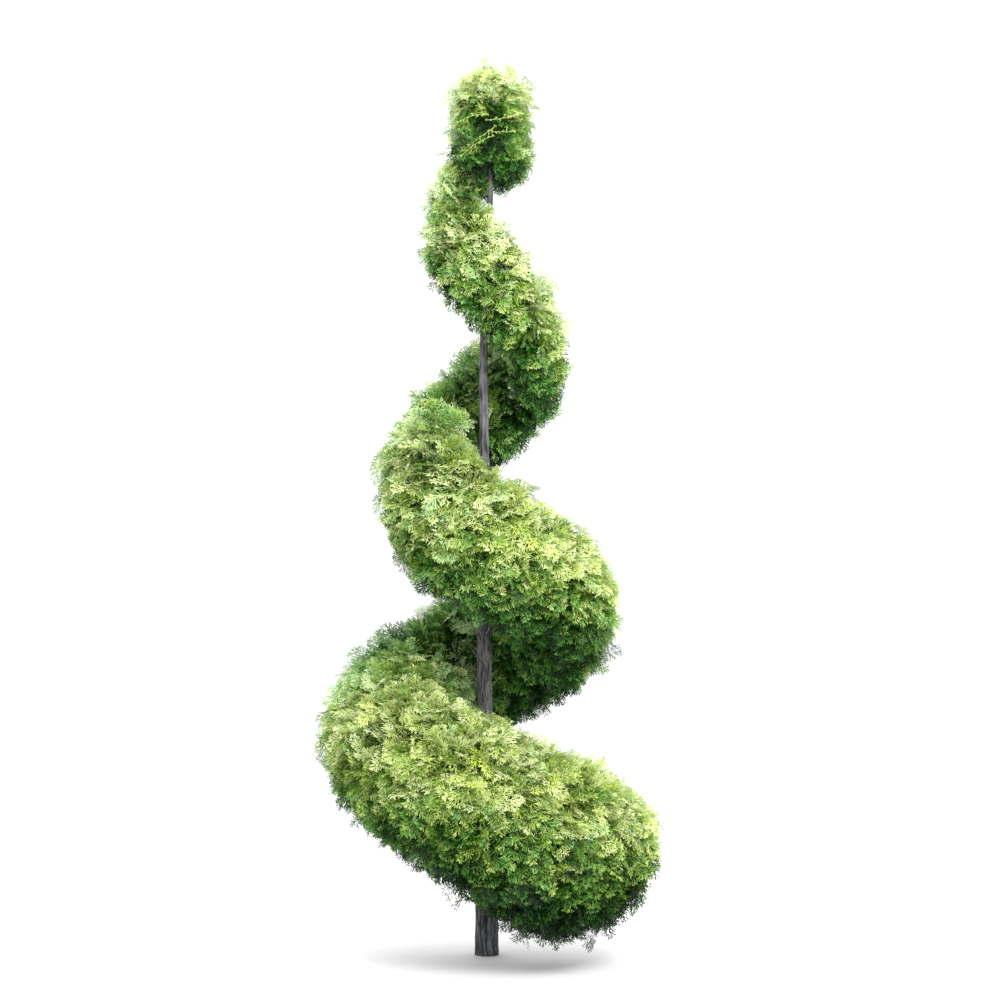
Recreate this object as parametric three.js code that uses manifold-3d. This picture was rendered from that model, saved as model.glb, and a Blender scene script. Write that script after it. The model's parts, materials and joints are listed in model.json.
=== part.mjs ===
// Spiral topiary: a clipped conifer, rooted in the ground. One tapering trunk runs up through a
// spiral of foliage that climbs three turns round it, front to left to back to right, from a
// rounded foot to a rounded crown. The spiral is cut into quarter turns, and short boughs carry
// each of them from the trunk.
//
// Millimetres, +Z up, origin at the centre of the trunk's flat cut at ground level.
// Azimuths are in degrees round the trunk: 0 is the front (-Y), 90 the right (+X), -90 the left.

import * as THREE from "three";
import { mergeVertices } from "three/addons/utils/BufferGeometryUtils.js";
import Module from "manifold-3d";

const wasm = await Module();
wasm.setup();

// ---- Driving dimensions -------------------------------------------------------------------

// The spiral's centre line, by turns climbed from its foot.
const FOOT_AZIMUTH = 95;
const FOOT_HEIGHT = 267;
const PITCH = 749.5;
const PITCH_GROWTH = 4.4;
const FOOT_ROUNDING_TURNS = 0.12;

// The clipped cone that the spiral's outside follows, and the hollow that it leaves at the trunk.
const FOOT_RADIUS = 549;
const CONE_TAPER_PER_TURN = 165.4;
const CONE_SWELL = 2.3;
const LEAST_OUTER_RADIUS = 118;
const INNER_GAP_FROM_TRUNK = 20;

// The spiral's section, an oval that leans up and out.
const FOOT_HALF_HEIGHT = 262;
const HALF_HEIGHT_LOSS_PER_TURN = 31;
const HALF_HEIGHT_SWELL = 1;
const SECTION_POWER = 1.85;
const SECTION_LEAN = THREE.MathUtils.degToRad(10.3);

// Slow waves in the clipped surface: their share of its size, and their waves along the climb, in
// a turn of it, and round the section.
const LUMPS = [
  { share: 0.02, perTurn: 2.7, round: 2, start: 0 },
  { share: 0.014, perTurn: 4.3, round: -3, start: 1 },
];

// Where the clipping left it fuller or thinner than the even spiral: at so many turns, over so
// much of a turn, in mm more outside radius, more half height and lower centre.
const SWELLS = [
  { turns: 0, reach: 0.09, wider: 24, taller: -16, lower: -26 },
  { turns: 0.19, reach: 0.07, wider: 0, taller: 32, lower: 34 },
  { turns: 0.5, reach: 0.12, wider: 9, taller: 4, lower: 0 },
  { turns: 1.07, reach: 0.14, wider: 0, taller: -24, lower: 4 },
  { turns: 1.4, reach: 0.14, wider: 8, taller: 14, lower: 14 },
  { turns: 2.46, reach: 0.15, wider: 32, taller: -6, lower: 6 },
];

// The rounded crown on top, on a slanting underside that carries on the spiral's climb.
const CROWN = { x: 10, radius: 124, bottom: 2205, top: 2588, power: 2.5 };
const CROWN_UNDERSIDE = { heightAtTrunk: 2243, risePerForward: 0.5 };
const CROWN_TAIL_TURNS = 2.86;
const CROWN_TAIL_ROUNDING_TURNS = 0.12;
const CROWN_PROFILE_STEPS = 12;

// The trunk, by height: its radius and how far it has wandered to the right (+X).
const TRUNK_TOP = 2478;
const TRUNK_STATIONS = [
  { z: 0, radius: 34.5, x: 0 },
  { z: 60, radius: 33, x: 0 },
  { z: 400, radius: 29.5, x: -2 },
  { z: 740, radius: 22, x: -5 },
  { z: 930, radius: 20, x: -8 },
  { z: 1480, radius: 14, x: -7 },
  { z: 1770, radius: 11, x: -9 },
  { z: 2000, radius: 9.5, x: 0 },
  { z: 2200, radius: 8.5, x: 10 },
  { z: TRUNK_TOP, radius: 4, x: 11 },
];
const TRUNK_RINGS = 26;
const TRUNK_SIDES = 20;
const TRUNK_UNEVENNESS = 0.035;
const TRUNK_FLUTES = 3;
const TRUNK_FLUTE_TWIST = 160;

// The boughs: where they leave the trunk in their mass's height, and how they rise.
const BOUGHS_PER_MASS = [
  { name: "lower", height: -0.62, turn: -16, rise: 36 },
  { name: "upper", height: 0.08, turn: 17, rise: 30 },
];
const BOUGH_RADIUS_SHARE = 0.34;
const BOUGH_TAPER = 0.7;
const BOUGH_SIDES = 8;

// How far apart neighbouring solids are kept, and how finely their skins are divided.
const GAP = 0.4;
const CUT_GROWTH = 1.2;
const SECTION_SIDES = 20;
const RINGS_PER_TURN = 26;
const RING_CROWDING = 1.6;
const LEAST_RINGS = 3;
const LEAST_END_SCALE = 0.03;

const MASSES = [
  { name: "turn_1_foot", from: FOOT_AZIMUTH, to: 45 },
  { name: "turn_1_front", from: 45, to: -45 },
  { name: "turn_1_left", from: -45, to: -135 },
  { name: "turn_1_back", from: -135, to: -225 },
  { name: "turn_1_right", from: -225, to: -315 },
  { name: "turn_2_front", from: -315, to: -405 },
  { name: "turn_2_left", from: -405, to: -495 },
  { name: "turn_2_back", from: -495, to: -585 },
  { name: "turn_2_right", from: -585, to: -675 },
  { name: "turn_3_front", from: -675, to: -765 },
  { name: "turn_3_left", from: -765, to: -855 },
];
const CROWN_FROM_AZIMUTH = -855;

// ---- Materials ----------------------------------------------------------------------------

const bark = new THREE.MeshStandardMaterial({ color: 0x5c5a57, roughness: 0.9, metalness: 0 });
const foliage = new THREE.MeshStandardMaterial({ color: 0x76913f, roughness: 0.75, metalness: 0 });

// ---- Shapes as functions of the driving dimensions -------------------------------------------

const turnsAt = (azimuth) => (FOOT_AZIMUTH - azimuth) / 360;
const azimuthAt = (turns) => FOOT_AZIMUTH - 360 * turns;

// A value at a height, in a straight line between the stations below and above it.
function stationValue(stations, key, z) {
  const last = stations.length - 1;
  const at = THREE.MathUtils.clamp(z, stations[0].z, stations[last].z);
  const i = Math.min(stations.findLastIndex((s) => s.z <= at), last - 1);
  const share = (at - stations[i].z) / (stations[i + 1].z - stations[i].z);
  return THREE.MathUtils.lerp(stations[i][key], stations[i + 1][key], share);
}

const trunkRadius = (z) => stationValue(TRUNK_STATIONS, "radius", z);
const trunkX = (z) => stationValue(TRUNK_STATIONS, "x", z);

// The quarter of an ellipse that rounds off an end: 0 at the tip, 1 past the rounding's length.
const rounding = (distance, length) =>
  distance >= length ? 1 : Math.sqrt(Math.max(0, 1 - (1 - distance / length) ** 2));

const swell = (key, turns) =>
  SWELLS.reduce((sum, s) => sum + s[key] * Math.exp(-(((turns - s.turns) / s.reach) ** 2)), 0);

// The spiral's oval section at so many turns up from its foot.
function sectionAt(turns) {
  const z = FOOT_HEIGHT + PITCH * turns + PITCH_GROWTH * turns ** 2 - swell("lower", turns);
  const cone = FOOT_RADIUS - CONE_TAPER_PER_TURN * turns + CONE_SWELL * turns ** 2;
  const outer = Math.max(cone, LEAST_OUTER_RADIUS) + swell("wider", turns);
  const inner = trunkRadius(z) + INNER_GAP_FROM_TRUNK;
  const evenHalfHeight =
    FOOT_HALF_HEIGHT - HALF_HEIGHT_LOSS_PER_TURN * turns + HALF_HEIGHT_SWELL * turns ** 2;
  const halfHeight = evenHalfHeight + swell("taller", turns);
  return { z, middle: (outer + inner) / 2, halfWidth: (outer - inner) / 2, halfHeight };
}

const oval = (angle, power) => [
  Math.sign(Math.cos(angle)) * Math.abs(Math.cos(angle)) ** (2 / power),
  Math.sign(Math.sin(angle)) * Math.abs(Math.sin(angle)) ** (2 / power),
];

// How far the clipping wanders from the plain oval, alike on both sides of a cut.
const lump = (turns, angle) =>
  LUMPS.reduce(
    (size, wave) =>
      size +
      wave.share * Math.sin(2 * Math.PI * wave.perTurn * turns + wave.round * angle + wave.start),
    1,
  );

// One ring of the spiral's outline. shift moves it along the climb, to leave a gap at a cut.
function spiralRing(turns, endScale, grow, shift) {
  const s = sectionAt(turns);
  const azimuth = THREE.MathUtils.degToRad(azimuthAt(turns));
  const out = new THREE.Vector3(Math.sin(azimuth), -Math.cos(azimuth), 0);
  const along = new THREE.Vector3(-Math.cos(azimuth), -Math.sin(azimuth), 0);
  return Array.from({ length: SECTION_SIDES }, (_, i) => {
    const angle = (2 * Math.PI * i) / SECTION_SIDES;
    const [across, up] = oval(angle, SECTION_POWER);
    const size = endScale * lump(turns, angle);
    const u = (s.halfWidth * size + grow) * across;
    const v = (s.halfHeight * size + grow) * up;
    const r = s.middle + u * Math.cos(SECTION_LEAN) - v * Math.sin(SECTION_LEAN);
    const z = s.z + u * Math.sin(SECTION_LEAN) + v * Math.cos(SECTION_LEAN);
    return out
      .clone()
      .multiplyScalar(r)
      .addScaledVector(along, shift)
      .setComponent(2, z);
  });
}

// A closed geometry through rings of points, each with its middle for the end caps.
function closedSkin(rings) {
  const sides = rings[0].length;
  const points = rings.flat();
  const middle = (ring) =>
    ring.reduce((sum, p) => sum.add(p), new THREE.Vector3()).divideScalar(ring.length);
  const firstMiddle = points.push(middle(rings[0])) - 1;
  const lastMiddle = points.push(middle(rings.at(-1))) - 1;
  const faces = [];
  for (let k = 0; k + 1 < rings.length; k++) {
    for (let i = 0; i < sides; i++) {
      const [a, b] = [k * sides + i, k * sides + ((i + 1) % sides)];
      faces.push(a, b, b + sides, a, b + sides, a + sides);
    }
  }
  const lastRing = (rings.length - 1) * sides;
  for (let i = 0; i < sides; i++) {
    const next = (i + 1) % sides;
    faces.push(firstMiddle, next, i);
    faces.push(lastMiddle, lastRing + i, lastRing + next);
  }
  return new THREE.BufferGeometry().setFromPoints(points).setIndex(faces);
}

// ---- Solids -------------------------------------------------------------------------------

const MERGE_WITHIN = 1e-3;

function solidOf(geometry) {
  const bare = geometry.clone();
  bare.deleteAttribute("normal");
  bare.deleteAttribute("uv");
  const merged = mergeVertices(bare, MERGE_WITHIN);
  const build = (triVerts) =>
    new wasm.Manifold(
      new wasm.Mesh({
        numProp: 3,
        vertProperties: merged.attributes.position.array,
        triVerts: new Uint32Array(triVerts),
      }),
    );
  const indices = Array.from(merged.index.array);
  const made = build(indices);
  return made.volume() > 0 ? made : build(indices.reverse());
}

function geometryOf(solid) {
  const mesh = solid.getMesh();
  const positions = new Float32Array(mesh.numVert * 3);
  for (let i = 0; i < mesh.numVert; i++) {
    const start = i * mesh.numProp;
    positions.set(mesh.vertProperties.subarray(start, start + 3), i * 3);
  }
  const geometry = new THREE.BufferGeometry();
  geometry.setAttribute("position", new THREE.BufferAttribute(positions, 3));
  geometry.setIndex(new THREE.BufferAttribute(new Uint32Array(mesh.triVerts), 1));
  return geometry;
}

// Rings crowd towards a rounded end, so that its curve stays smooth.
function ringShare(share, roundedStart, roundedEnd) {
  if (roundedStart) return share ** RING_CROWDING;
  if (roundedEnd) return 1 - (1 - share) ** RING_CROWDING;
  return share;
}

// A stretch of the spiral between two heights in turns. Its ends are drawn in to leave gaps at the
// cuts, unless it is grown to cut a neighbour with.
function spiralSolid(from, to, { grow = 0, endRounding = 0 } = {}) {
  const count = Math.max(LEAST_RINGS, Math.ceil((to - from) * RINGS_PER_TURN));
  const rings = [];
  for (let k = 0; k <= count; k++) {
    const turns = from + (to - from) * ringShare(k / count, from === 0, endRounding > 0);
    const footScale = rounding(turns, FOOT_ROUNDING_TURNS);
    const tailScale = endRounding ? rounding(to - turns, endRounding) : 1;
    const drawnIn = grow ? 0 : GAP / 2;
    const shift = k === 0 ? drawnIn : k === count ? -drawnIn : 0;
    rings.push(
      spiralRing(turns, Math.max(LEAST_END_SCALE, footScale * tailScale), grow, shift),
    );
  }
  return solidOf(closedSkin(rings));
}

function trunkSolid(grow = 0) {
  const rings = [];
  for (let k = 0; k <= TRUNK_RINGS; k++) {
    const z = (TRUNK_TOP * k) / TRUNK_RINGS;
    rings.push(
      Array.from({ length: TRUNK_SIDES }, (_, i) => {
        const angle = (2 * Math.PI * i) / TRUNK_SIDES;
        const flute = Math.sin(TRUNK_FLUTES * angle + z / TRUNK_FLUTE_TWIST);
        const uneven = 1 + TRUNK_UNEVENNESS * flute;
        const r = trunkRadius(z) * uneven + grow;
        return new THREE.Vector3(trunkX(z) + r * Math.cos(angle), r * Math.sin(angle), z);
      }),
    );
  }
  return solidOf(closedSkin(rings));
}

// The crown's rounded body: a barrel with a superellipse for its profile.
function crownBarrel() {
  const middle = (CROWN.bottom + CROWN.top) / 2;
  const halfHeight = (CROWN.top - CROWN.bottom) / 2;
  const profile = Array.from({ length: CROWN_PROFILE_STEPS + 1 }, (_, i) => {
    const angle = -Math.PI / 2 + (Math.PI * i) / CROWN_PROFILE_STEPS;
    const [across, up] = oval(angle, CROWN.power);
    const atAxis = i === 0 || i === CROWN_PROFILE_STEPS;
    return new THREE.Vector2(atAxis ? 0 : CROWN.radius * across, halfHeight * up);
  });
  const barrel = new THREE.LatheGeometry(profile, SECTION_SIDES);
  barrel.rotateX(Math.PI / 2);
  barrel.translate(CROWN.x, 0, middle);
  const points = barrel.attributes.position;
  for (let i = 0; i < points.count; i++) {
    const [x, y, z] = [points.getX(i) - CROWN.x, points.getY(i), points.getZ(i)];
    const size = lump(z / PITCH, 2 * Math.atan2(y, x));
    points.setX(i, CROWN.x + x * size);
    points.setY(i, y * size);
  }
  return solidOf(barrel);
}

// Everything above the plane that the crown's underside follows, high in front and low behind.
function aboveCrownUnderside() {
  const side = CROWN.top - CROWN.bottom + 4 * CROWN.radius;
  const slope = Math.atan(CROWN_UNDERSIDE.risePerForward);
  const block = new THREE.BoxGeometry(side, side, side);
  block.translate(0, 0, side / 2);
  block.rotateX(-slope);
  block.translate(CROWN.x, 0, CROWN_UNDERSIDE.heightAtTrunk);
  return solidOf(block);
}

function crownSolid(neighbour) {
  const tailFrom = turnsAt(CROWN_FROM_AZIMUTH);
  const tail = spiralSolid(tailFrom, CROWN_TAIL_TURNS, {
    endRounding: CROWN_TAIL_ROUNDING_TURNS,
  });
  return crownBarrel()
    .intersect(aboveCrownUnderside())
    .add(tail)
    .subtract(neighbour)
    .subtract(trunkSolid(GAP));
}

// One bough, from the trunk's bark to where it enters its mass.
function boughSolid(mass, rule, grownMass, grownTrunk) {
  const turns = turnsAt((mass.from + mass.to) / 2 + rule.turn);
  const s = sectionAt(turns);
  const z = s.z + s.halfHeight * rule.height;
  const azimuth = THREE.MathUtils.degToRad(azimuthAt(turns));
  const rise = THREE.MathUtils.degToRad(rule.rise);
  const out = new THREE.Vector3(
    Math.sin(azimuth) * Math.cos(rise),
    -Math.cos(azimuth) * Math.cos(rise),
    Math.sin(rise),
  );
  const start = new THREE.Vector3(trunkX(z), 0, z);
  const length = s.middle / Math.cos(rise);
  const radius = trunkRadius(z) * BOUGH_RADIUS_SHARE;
  const limb = new THREE.CylinderGeometry(radius * BOUGH_TAPER, radius, length, BOUGH_SIDES);
  limb.translate(0, length / 2, 0);
  limb.applyQuaternion(
    new THREE.Quaternion().setFromUnitVectors(new THREE.Vector3(0, 1, 0), out),
  );
  limb.translate(start.x, start.y, start.z);
  const cut = solidOf(limb).subtract(grownTrunk).subtract(grownMass);
  return cut.decompose().sort((a, b) => a.boundingBox().min[2] - b.boundingBox().min[2])[0];
}

// ---- The topiary --------------------------------------------------------------------------

const topiary = new THREE.Group();

function addPart(name, solid, material) {
  const mesh = new THREE.Mesh(geometryOf(solid), material);
  mesh.name = name;
  topiary.add(mesh);
}

addPart("trunk", trunkSolid(), bark);

const grownTrunk = trunkSolid(GAP);
for (const mass of MASSES) {
  const [from, to] = [turnsAt(mass.from), turnsAt(mass.to)];
  addPart(mass.name, spiralSolid(from, to), foliage);
  const grownMass = spiralSolid(from, to, { grow: CUT_GROWTH });
  for (const rule of BOUGHS_PER_MASS) {
    addPart(
      `${mass.name}_bough_${rule.name}`,
      boughSolid(mass, rule, grownMass, grownTrunk),
      bark,
    );
  }
}

const lastMass = MASSES.at(-1);
const grownLastMass = spiralSolid(turnsAt(lastMass.from), turnsAt(lastMass.to), { grow: CUT_GROWTH });
addPart("crown_top", crownSolid(grownLastMass), foliage);

export default topiary;
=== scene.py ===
"""The looks of a spiral topiary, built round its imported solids.

Each mass of foliage is grown anew: boughs run on from the trunk, branch by a seeded rule towards
the clipped shell of the mass, and end in flat fronds of forked sprays. The solids give the shell,
so every size here is either a size of the plant's own parts or is measured from the frame.
Metres, +Z up, the front at -Y.
"""

import json
import math
from types import SimpleNamespace as Sizes

import bmesh
import bpy
import numpy as np
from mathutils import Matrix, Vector, noise
from mathutils.bvhtree import BVHTree


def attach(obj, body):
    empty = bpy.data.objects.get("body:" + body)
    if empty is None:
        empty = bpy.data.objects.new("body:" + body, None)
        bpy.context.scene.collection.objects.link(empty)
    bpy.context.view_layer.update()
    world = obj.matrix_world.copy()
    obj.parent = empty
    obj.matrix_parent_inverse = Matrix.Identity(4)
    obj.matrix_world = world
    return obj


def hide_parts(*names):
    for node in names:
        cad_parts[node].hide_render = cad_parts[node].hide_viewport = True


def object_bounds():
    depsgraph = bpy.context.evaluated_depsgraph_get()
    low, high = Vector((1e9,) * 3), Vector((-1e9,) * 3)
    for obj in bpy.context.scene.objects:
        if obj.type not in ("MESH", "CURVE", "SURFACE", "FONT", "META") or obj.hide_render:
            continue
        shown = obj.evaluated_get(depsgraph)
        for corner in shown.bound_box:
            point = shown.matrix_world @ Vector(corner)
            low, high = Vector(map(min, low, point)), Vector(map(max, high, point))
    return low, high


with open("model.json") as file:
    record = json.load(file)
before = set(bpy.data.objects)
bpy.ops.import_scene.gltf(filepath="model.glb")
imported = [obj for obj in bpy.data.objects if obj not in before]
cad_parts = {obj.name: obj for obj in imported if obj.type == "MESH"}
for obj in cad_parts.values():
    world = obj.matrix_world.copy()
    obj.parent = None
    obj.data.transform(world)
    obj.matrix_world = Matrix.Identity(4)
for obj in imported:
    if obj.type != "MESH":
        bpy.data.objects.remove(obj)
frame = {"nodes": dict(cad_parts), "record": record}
cad_low, cad_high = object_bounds()

SEED = 20
UP = np.array([0.0, 0.0, 1.0])

# ---- Driving sizes ------------------------------------------------------------------------

# The fronds: their size, how that follows the mass's thickness, and how they vary and curl.
FROND_LENGTH = 0.11
FROND_TEMPLATES = 12
SPRAYS_ON_FROND = 5
SHOOTS_ON_SPRAY = 5
FROND_SIZE_LEAST = 0.35
FROND_SIZE_BY_THICKNESS = 4.2
FROND_SIZE_VARIES = (0.85, 1.12)
CURL = (0.5, 3.0)

# The fine fronds that show at the shell, and the plainer ones just under them: how many on a
# square metre of shell, how wide their blades are, how deep their tips lie and spread, how many
# blades fork off each shoot, and their painted shade: how much darker the deeper layer is drawn,
# and how much paler the outer one, as painted light.
LAYERS = [
    {"per_m2": 860, "width": 0.0025, "depth": 0.001, "spread": 0.008, "forks": 2, "darker": -0.4},
    {"per_m2": 900, "width": 0.0030, "depth": 0.014, "spread": 0.007, "forks": 1, "darker": 1.7},
]
# A blade's root as a share of its width.
ROOT_WIDTH = 0.5

# The fronds that stand proud of the clipped shell, and how the shears press back the others.
STRAY_SHARE = 0.17
STRAY_REACH = 0.030
STRAY_LEAN = 0.8
STRAY_DARKER = 1.6
CLIP_HEIGHT = 0.008
CLIP_SOFTNESS = 0.4

# The crown: the parting in its top, the hollow in its front, dark with painted shade, the slot
# that keeps the trunk's upper end in sight up to a height, its finer fronds and the painted light
# that makes its top paler.
PARTING = Sizes(aside=0.02, width=0.022, depth=0.05)
HOLLOW = Sizes(rise=0.06, half_width=0.08, half_height=0.07, depth=0.035, darker=7.5)
TIP_SLOT = Sizes(margin=0.003, top=2.30)
CROWN_STRAYS = 2.2
CROWN_STRAY_REACH = 0.020
CROWN_FINER = 0.82
CROWN_TOP_PAINTED_LIGHT = 2.2
CROWN_PAINTED_LIGHT_SPAN = (0.45, 0.95)

# The long pale shoots that cross the hollow: their climb is a mean and its scatter, and the
# lengths of their forks are shares of a step's length.
LONG_SHOOT = Sizes(
    count=5, rise=(0.035, 0.095), start_scatter=0.02, start_gap=0.004, climb=(-0.05, 0.25),
    length=0.10, size=(0.6, 1.0), droop=3.4, steps=7, overlap=1.5, bend=0.05, wander=0.12,
    pitch=0.1, width=0.0018, fork_width=0.0016, fork_angle=(0.5, 0.9), fork_length=(0.6, 1.6),
    fork_growth=(0.4, 1.3), end_angles=(-0.3, 0.35), end_length=(0.6, 0.9), tint=5.2,
    forward=-0.1, facing=(0.15, -1.0, 0.35),
)

# How a frond lies: drooping on the sides, leaning outwards on top, its flat side facing upwards
# and outwards. One whose foot would come out of the mass is turned steeper.
SIDE_DROOP = 0.45
TOP_LEAN = 0.45
DIRECTION_SCATTER = 0.36
FACES_UP = 0.9
FACES_OUT = 0.5
ROLL_SCATTER = 0.6
STEEPER = 1.6

# The coarse fronds inside, dark with painted shade, which keep the mass from being seen
# through. They take a share of the painted light on the crown's top.
INNER = Sizes(
    per_m2=1000, depth=(0.05, 0.12), length=0.055, width=0.0075, blades=4, fan=0.55,
    fan_scatter=0.12, length_varies=(0.75, 1.1), pitch=0.25, fork_shares=(0.3, 0.45, 0.65),
    fork_angle=(0.5, 0.8), fork_length=0.4, fork_tone=0.5, direction_scatter=0.7,
    size_least=0.3, size_by_thickness=3, tint=0.6, tint_scatter=0.5, paler_share=0.6,
)

# The wood inside a mass: the sag and crook of what joins a frond to the wood, which limbs count
# as twigs and how many sides each kind has, and the thin shoots that help the boughs to carry it.
NODE_SPACING = 0.035
TWIG_RADIUS = 0.0009
SAG = 0.12
CROOK = 0.0025
PIPE_POWER = 2.4
LARGEST_LIMB = 0.011
TWIGS_BELOW = 0.0028
ROUND_ABOVE = 0.005
ROUND_SIDES = 8
SIDES = {"limbs": 5, "twigs": 3}
LIMB_SLIMMER = 0.97
BOUGH_ROOT_DROP = 0.004
BOUGH_TAPER = 0.75
EXTRA_SHOOTS = 5
EXTRA_SHOOTS_UP_TO = 0.9
TIP_BARE = 0.02
EXTRA_SHOOT_RADII = (0.002, 0.0016)
EXTRA_SHOOT_GOALS = 12
EXTRA_SHOOT_RISE = 0.02

# The small sprays along the bare part of each bough, dark with painted shade.
LIMB_SPRAY_SPACING = 0.010
LIMB_SPRAY_SIZE = (0.45, 0.9)
LIMB_SPRAYS_FROM = 0.25
LIMB_SPRAY_SCATTER = 0.9
LIMB_SPRAY_ROLL = 0.4
LIMB_SPRAY_PALER = 0.8

# The thin bare twigs left on the trunk in the lower gap between the turns.
BARE_TWIGS = 75
BARE_TWIG_LENGTH = (0.025, 0.06)
BARE_TWIG_RADII = {"foot": 0.0011, "knee": 0.000825, "fork": 0.00066, "tip": 0.00044}
BARE_TWIG_HEIGHTS = (0.45, 1.25)
BARE_TWIG_ROOT = 0.9
BARE_TWIG_CLIMB = (0.7, 1.3)
BARE_TWIG_SCATTER = 0.12
BARE_TWIG_KNEE = 0.55
BARE_TWIG_FORK = 0.3

# The trunk's skin.
TRUNK_SIDES = 72
TRUNK_RING_SPACING = 0.006
BARK_RELIEF = 0.06
BARK_RELIEF_MOST = 0.0018
BARK_MIDDLE = 0.7

# The bark's relief: how close its sway, strips and fine fibres lie across and upwards, and how
# much each one counts.
BARK_SWAY = Sizes(across=2, upwards=6, share=0.25)
BARK_STRIPS = Sizes(across=5, upwards=9, share=1.6)
BARK_FINE = Sizes(across=13, upwards=26, share=0.5)

# Tints, in steps of a family, carry painted light and shade. A frond's runs from full shade to the
# open, by its share of the sky with painted light added on tops and on the plant's left and right.
# Undersides and what is near the ground get painted shade, and so do tops round the back. What
# faces the trunk there gets painted light.
SHADE_TINT = 2.6
OPEN_TINT = 6.6
DARK_SKY = 0.02
OPEN_SKY = 0.75
OPENNESS_POWER = 0.95
TOP_PAINTED_LIGHT = 0.16
SIDE_PAINTED_LIGHT = 0.18
UNDERSIDE_PAINTED_SHADE = 2.4
GROUND_PAINTED_SHADE = 3.0
GROUND_REACH = 0.45
BACK_TOP_PAINTED_SHADE = 7.5
BACK_TOP_FROM = 0.5
BACK_INNER_PAINTED_LIGHT = 3.5
BACK_STARTS = -0.25
BACK_REACH = 0.35

# How much tints differ: by slow patches, frond by frond, spray by spray and blade by blade. A
# blade's own tone counts for more in the shade than in the open, as painted light on the pale
# tips and painted shade at the dark feet.
PATCH_TINT = 0.6
PATCH_SIZE = 0.07
FROND_TINT_SCATTER = 0.32
SPRAY_TINT_SCATTER = 0.4
BLADE_TINT_SCATTER = 0.3
TONE_GAIN = (2.2, 1.0)

# A spray's warmth, about -0.8 to 0.8, makes it yellow or blue past these marks. Painted shade
# lowers it, so sprays come out cooler in the shade and at the back to the left.
YELLOW_OVER = 0.44
BLUE_UNDER = -0.44
WARM_PATCH = 0.35
WARM_PATCH_SIZE = 0.12
WARM_PATCH_OFFSET = 3.7
SHADE_COOLER = 1.2
SHADE_BELOW = 0.7
BACK_PAINTED_SHADE_COOLER = 1.3

# Measuring the solids: how near a neighbour's skin counts as a cut, how alike in height a ring's
# points are and how many it has, how far rays start off the skin, how far under it a point
# counts as outside, and the most that a mass is taken to measure through.
CUT_FACE_GAP = 0.004
RING_HEIGHT_GAP = 1e-3
RING_POINTS_LEAST = 6
RAY_START = 0.004
RAY_START_INSIDE = 0.002
OUTSIDE_ABOVE = -0.008
THICKEST = 0.3

# The rays that measure a place's share of the sky, from straight up to a little below level.
SKY_RAYS = 40
SKY_SPAN = 1.1
SKY_LEVEL_WEIGHT = 0.25
SKY_FACING_LEAST = 0.03
GOLDEN_ANGLE = math.pi * (3 - math.sqrt(5))

# The photograph's view: the camera's place beside the plant, its lens and its tilt.
CAMERA_DISTANCE = 9.02
CAMERA_HEIGHT = 1.577
CAMERA_RIGHT = 0.039
CAMERA_LENS = 111.6
CAMERA_TILT = math.radians(1.58)


# ---- Small tools --------------------------------------------------------------------------


def unit(v):
    """v, or each row of v, at length 1."""
    return v / np.maximum(np.linalg.norm(v, axis=-1, keepdims=True), 1e-9)


def between(ends, share):
    """The value that share of the way between two ends."""
    return ends[0] + (ends[1] - ends[0]) * share


def srgb(r, g, b):
    """A colour given as it is seen on a screen, 0 to 255, as the linear colour that shaders take."""
    seen = np.array([r, g, b]) / 255
    linear = np.where(seen <= 0.04045, seen / 12.92, ((seen + 0.055) / 1.055) ** 2.4)
    return (*linear.tolist(), 1.0)


def welded(node):
    """A CAD node's points and triangles, with the points that share a place joined."""
    mesh = frame["nodes"][node].data
    mesh.calc_loop_triangles()
    points = np.empty(len(mesh.vertices) * 3, np.float32)
    mesh.vertices.foreach_get("co", points)
    triangles = np.empty(len(mesh.loop_triangles) * 3, np.int32)
    mesh.loop_triangles.foreach_get("vertices", triangles)
    places, index = np.unique(points.reshape(-1, 3).round(6), axis=0, return_inverse=True)
    triangles = index.ravel()[triangles].reshape(-1, 3)
    area = np.linalg.norm(triangle_normals(places, triangles), axis=1)
    return places.astype(float), triangles[area > 0]


def triangle_normals(points, triangles):
    """Each triangle's normal, as long as twice its area."""
    a, b, c = (points[triangles[:, i]] for i in range(3))
    return np.cross(b - a, c - a)


def tree_of(points, triangles):
    """A lookup tree for rays and nearest points."""
    return BVHTree.FromPolygons([Vector(p) for p in points], triangles.tolist())


def make_piece(name, points, faces, materials, replaced=(), tints=None, smooth=False):
    """One mesh piece that rides on the plant. tints is each face's place in materials."""
    mesh = bpy.data.meshes.new(name)
    sides = faces.shape[1]
    mesh.vertices.add(len(points))
    mesh.vertices.foreach_set("co", points.astype(np.float32).ravel())
    mesh.loops.add(faces.size)
    mesh.loops.foreach_set("vertex_index", faces.astype(np.int32).ravel())
    mesh.polygons.add(len(faces))
    mesh.polygons.foreach_set("loop_start", np.arange(0, faces.size, sides, dtype=np.int32))
    for material in materials:
        mesh.materials.append(material)
    if tints is not None:
        mesh.polygons.foreach_set("material_index", tints.astype(np.int32))
    mesh.polygons.foreach_set("use_smooth", np.full(len(faces), smooth))
    mesh.update(calc_edges=True)
    mesh.validate()
    piece = bpy.data.objects.new(name, mesh)
    bpy.context.scene.collection.objects.link(piece)
    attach(piece, "root")
    if replaced:
        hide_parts(*replaced)
    return piece


# ---- Materials ----------------------------------------------------------------------------

LEAF_ROUGHNESS = 0.5
LEAF_SPECULAR = 0.28
TWIG_ROUGHNESS = 0.8

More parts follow.
